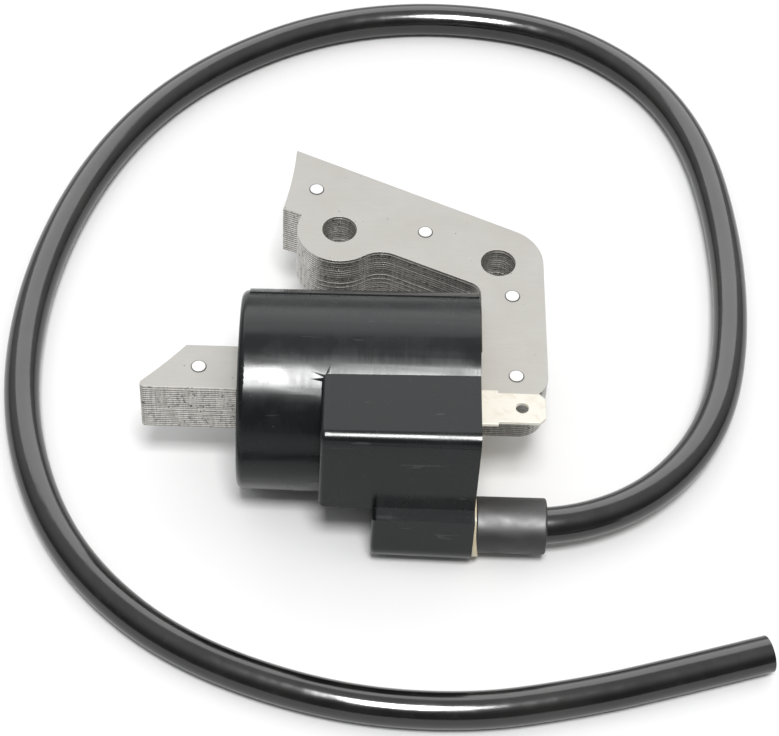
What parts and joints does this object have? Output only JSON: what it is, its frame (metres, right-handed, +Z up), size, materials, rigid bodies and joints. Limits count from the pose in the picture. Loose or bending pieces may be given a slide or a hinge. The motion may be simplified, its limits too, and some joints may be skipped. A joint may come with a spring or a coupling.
{
  "type": "ignition coil",
  "caption": "Flywheel ignition coil: riveted laminated C core through a round moulded case with module box, resin fill, spade tab and a long coiled high-tension lead",
  "frame": {"origin": "on the surface the coil lies on, below the middle of coil and core (without the lead)", "axes": "+X along the coil's axis, from the pole end to the end with the tab and the lead; +Y across, away from the lead boss; +Z up, square to the laminations, along the mounting holes"},
  "size_m": [0.1506, 0.1887, 0.0388],
  "materials": {
    "core_steel": "satin",
    "rivet_steel": "polished",
    "case_plastic": "semi-gloss moulded",
    "potting_resin": "cured resin, satin",
    "tinned_metal": "tin plated",
    "sleeve_rubber": "matte",
    "lead_rubber": "satin",
    "conductor_strand": "bare strand",
    "contact_brass": "machined",
    "copper_wire": "enamelled",
    "copper_winding": "enamelled",
    "bobbin_nylon": "moulded",
    "wrap_film": "satin",
    "board_laminate": "satin",
    "capacitor_film": "dipped",
    "component_black": "moulded",
    "resistor_body": "lacquered"
  },
  "bodies": {
    "root": {"lamination_01": "core_steel", "lamination_02": "core_steel", "lamination_03": "core_steel", "lamination_04": "core_steel", "lamination_05": "core_steel", "lamination_06": "core_steel", "lamination_07": "core_steel", "lamination_08": "core_steel", "lamination_09": "core_steel", "lamination_10": "core_steel", "lamination_11": "core_steel", "lamination_12": "core_steel", "lamination_13": "core_steel", "lamination_14": "core_steel", "lamination_15": "core_steel", "lamination_16": "core_steel", "lamination_17": "core_steel", "lamination_18": "core_steel", "lamination_19": "core_steel", "lamination_20": "core_steel", "core_rivets": "rivet_steel", "coil_case": "case_plastic", "potting_resin": "potting_resin", "primary_tab": "tinned_metal", "lead_sleeve": "sleeve_rubber", "lead_insulation": "lead_rubber", "lead_conductor": "conductor_strand", "ht_contact_spike": "contact_brass", "ht_leadout_wire": "copper_wire", "primary_bobbin": "bobbin_nylon", "primary_winding": "copper_winding", "insulation_wrap": "wrap_film", "primary_leadout_wire": "copper_wire", "ground_wire": "copper_wire", "ground_strap": "tinned_metal", "secondary_bobbin": "bobbin_nylon", "secondary_winding_1": "copper_winding", "secondary_winding_2": "copper_winding", "secondary_winding_3": "copper_winding", "secondary_winding_4": "copper_winding", "secondary_winding_5": "copper_winding", "trigger_board": "board_laminate", "storage_capacitor": "capacitor_film", "switching_transistor": "component_black", "steering_diode": "component_black", "bias_resistor": "resistor_body", "module_wire": "copper_wire"}
  },
  "joints": []
}
